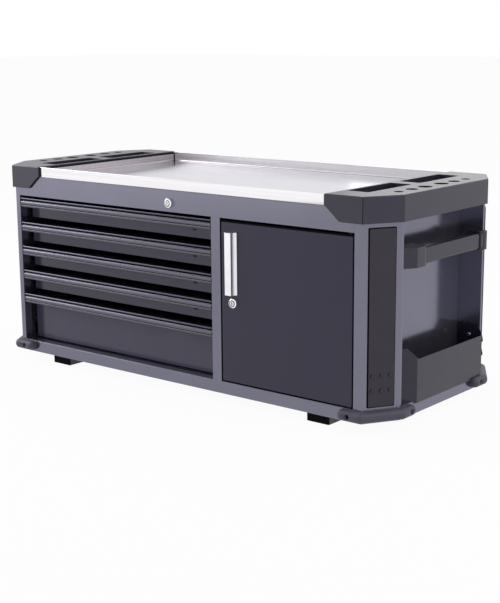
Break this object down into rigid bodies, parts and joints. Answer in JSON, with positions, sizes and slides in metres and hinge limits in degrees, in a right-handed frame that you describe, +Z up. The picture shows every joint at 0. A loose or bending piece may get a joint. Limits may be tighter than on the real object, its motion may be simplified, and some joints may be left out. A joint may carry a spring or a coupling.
{
  "type": "tool chest",
  "caption": "Low tool chest with shallow drawers on telescopic slides, a side door, a steel top tray between moulded end caps with tool slots, end bins and grab bars.",
  "frame": {"origin": "on the floor, under the middle of the chest", "axes": "+X along the chest towards the door end, +Z up, front towards -Y"},
  "size_m": [1.224, 0.54, 0.518],
  "materials": {
    "body_paint": "satin charcoal powder coat",
    "black_paint": "gloss black paint",
    "bin_paint": "satin black powder coat",
    "stainless": "bright brushed stainless steel",
    "cap_plastic": "moulded dark grey plastic, fine texture",
    "trim_plastic": "moulded black plastic, matte",
    "bumper_plastic": "moulded dark grey plastic",
    "grab_plastic": "moulded black plastic",
    "plug_plastic": "black plastic plug",
    "zinc_steel": "zinc-plated steel",
    "chrome": "bright chrome"
  },
  "bodies": {
    "cabinet": {"base_deck": "body_paint", "base_skirt": "body_paint", "skids": "body_paint", "skid_plugs": "plug_plastic", "corner_post_front_left": "body_paint", "corner_post_front_right": "body_paint", "corner_post_rear_left": "body_paint", "corner_post_rear_right": "body_paint", "end_panel_left": "body_paint", "end_panel_right": "body_paint", "back_panel": "body_paint", "divider_post": "body_paint", "partition_panel": "body_paint", "front_top_rail": "body_paint", "top_deck": "body_paint", "top_tray": "stainless", "end_cap_left": "cap_plastic", "end_cap_right": "cap_plastic", "corner_trims": "trim_plastic", "bumper_front_left": "bumper_plastic", "bumper_front_right": "bumper_plastic", "bumper_rear_left": "bumper_plastic", "bumper_rear_right": "bumper_plastic", "panel_screws": "zinc_steel", "grab_bar_left": "grab_plastic", "grab_bar_right": "grab_plastic", "grab_brackets": "grab_plastic", "side_bin_left": "bin_paint", "side_bin_right": "bin_paint", "slide_rails": "zinc_steel", "drawer_lock_barrel": "chrome", "hinge_pins": "zinc_steel"},
    "drawer_1": {"drawer_1": "black_paint", "drawer_1_lip": "black_paint", "drawer_1_runners": "zinc_steel"},
    "carriers_1": {"drawer_1_carriers": "zinc_steel"},
    "drawer_2": {"drawer_2": "black_paint", "drawer_2_lip": "black_paint", "drawer_2_runners": "zinc_steel"},
    "carriers_2": {"drawer_2_carriers": "zinc_steel"},
    "drawer_3": {"drawer_3": "black_paint", "drawer_3_lip": "black_paint", "drawer_3_runners": "zinc_steel"},
    "carriers_3": {"drawer_3_carriers": "zinc_steel"},
    "drawer_4": {"drawer_4": "black_paint", "drawer_4_lip": "black_paint", "drawer_4_runners": "zinc_steel"},
    "carriers_4": {"drawer_4_carriers": "zinc_steel"},
    "drawer_5": {"drawer_5": "black_paint", "drawer_5_lip": "black_paint", "drawer_5_runners": "zinc_steel"},
    "carriers_5": {"drawer_5_carriers": "zinc_steel"},
    "door": {"door_panel": "black_paint", "door_handle": "chrome", "door_lock_barrel": "chrome"},
    "door_lock": {"door_lock_plug": "chrome", "door_lock_cam": "zinc_steel"},
    "drawer_lock": {"drawer_lock_plug": "chrome", "lock_rod": "zinc_steel"},
    "lock_bar": {"lock_bar": "zinc_steel"}
  },
  "joints": [
    {"name": "drawer_1_slide", "type": "slide", "parent": "cabinet", "child": "drawer_1", "axis": [0, -1, 0], "range_m": [0, 0.4]},
    {"name": "carriers_1_slide", "type": "slide", "parent": "cabinet", "child": "carriers_1", "axis": [0, -1, 0], "range_m": [0, 0.2]},
    {"name": "drawer_2_slide", "type": "slide", "parent": "cabinet", "child": "drawer_2", "axis": [0, -1, 0], "range_m": [0, 0.4]},
    {"name": "carriers_2_slide", "type": "slide", "parent": "cabinet", "child": "carriers_2", "axis": [0, -1, 0], "range_m": [0, 0.2]},
    {"name": "drawer_3_slide", "type": "slide", "parent": "cabinet", "child": "drawer_3", "axis": [0, -1, 0], "range_m": [0, 0.4]},
    {"name": "carriers_3_slide", "type": "slide", "parent": "cabinet", "child": "carriers_3", "axis": [0, -1, 0], "range_m": [0, 0.2]},
    {"name": "drawer_4_slide", "type": "slide", "parent": "cabinet", "child": "drawer_4", "axis": [0, -1, 0], "range_m": [0, 0.4]},
    {"name": "carriers_4_slide", "type": "slide", "parent": "cabinet", "child": "carriers_4", "axis": [0, -1, 0], "range_m": [0, 0.2]},
    {"name": "drawer_5_slide", "type": "slide", "parent": "cabinet", "child": "drawer_5", "axis": [0, -1, 0], "range_m": [0, 0.4]},
    {"name": "carriers_5_slide", "type": "slide", "parent": "cabinet", "child": "carriers_5", "axis": [0, -1, 0], "range_m": [0, 0.2]},
    {"name": "door_hinge", "type": "hinge", "parent": "cabinet", "child": "door", "pos_m": [0.51347, -0.244, 0.25], "axis": [0, 0, 1], "range_deg": [0, 105]},
    {"name": "door_lock_turn", "type": "hinge", "parent": "door", "child": "door_lock", "pos_m": [0.195, -0.24, 0.247], "axis": [0, 1, 0], "range_deg": [0, 90]},
    {"name": "drawer_lock_turn", "type": "hinge", "parent": "cabinet", "child": "drawer_lock", "pos_m": [0, -0.24, 0.461], "axis": [0, 1, 0], "range_deg": [0, 90]},
    {"name": "lock_bar_slide", "type": "slide", "parent": "cabinet", "child": "lock_bar", "axis": [0, 0, -1], "range_m": [0, 0.01414]}
  ],
  "couplings": [
    {"joint": "carriers_1_slide", "follows": "drawer_1_slide", "ratio": 0.5},
    {"joint": "carriers_2_slide", "follows": "drawer_2_slide", "ratio": 0.5},
    {"joint": "carriers_3_slide", "follows": "drawer_3_slide", "ratio": 0.5},
    {"joint": "carriers_4_slide", "follows": "drawer_4_slide", "ratio": 0.5},
    {"joint": "carriers_5_slide", "follows": "drawer_5_slide", "ratio": 0.5},
    {"joint": "drawer_lock_turn", "follows": "lock_bar_slide", "rad_per_m": 111.07}
  ]
}
